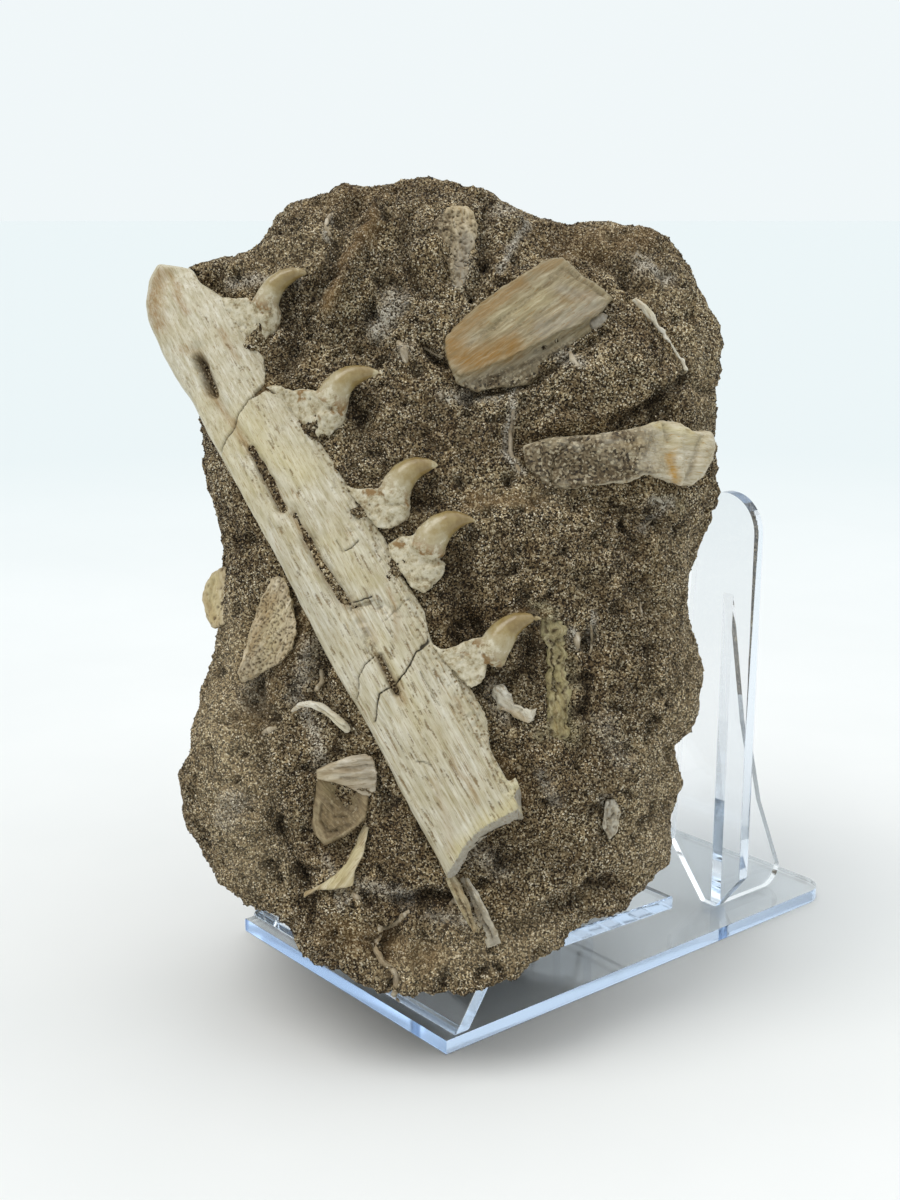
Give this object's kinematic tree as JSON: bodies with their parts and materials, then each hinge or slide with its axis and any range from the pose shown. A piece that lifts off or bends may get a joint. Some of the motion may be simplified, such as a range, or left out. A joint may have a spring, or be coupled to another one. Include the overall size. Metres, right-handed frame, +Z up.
{
  "type": "fossil jaw in matrix on display easel",
  "caption": "Fossil marine reptile jaw section with curved teeth, held in a sandstone block that rests on a clear acrylic display easel.",
  "frame": {"origin": "middle of the underside of the easel's base plate", "axes": "+Z up, -Y to the front of the easel, +X to its right seen from the front"},
  "size_m": [0.1139, 0.1527, 0.1727],
  "materials": {
    "acrylic": "clear, polished edges with a pale blue tint",
    "sandstone": "coarse open grain, brown grey with pale and dark specks",
    "jaw_bone": "cream fossil bone, fine long grain, dull sheen",
    "enamel": "tan glossy tooth enamel on dull white bony bases",
    "bone": "tan to grey fossil bone, porous in places",
    "shell": "pale thin fossil flakes, slight sheen"
  },
  "bodies": {
    "root": {"base_plate": "acrylic", "bone_bits": "bone", "bone_chip": "bone", "bone_edge": "bone", "bone_plate": "bone", "edge_shell_lower": "shell", "edge_shell_upper": "shell", "fin_left": "acrylic", "fin_right": "acrylic", "front_riser": "acrylic", "jaw_bone": "jaw_bone", "ledge": "acrylic", "long_bone": "bone", "loose_tooth": "enamel", "mottled_flake": "shell", "porous_bone_left": "bone", "porous_bone_right": "bone", "porous_bone_top": "bone", "prong_left": "acrylic", "prong_right": "acrylic", "rib_splinter": "bone", "sandstone": "sandstone", "shell_lower": "bone", "shell_upper": "shell", "splinter_white": "bone", "splinter_yellow": "bone", "tooth_1": "enamel", "tooth_2": "enamel", "tooth_3": "enamel", "tooth_4": "enamel", "tooth_5": "enamel"}
  },
  "joints": []
}
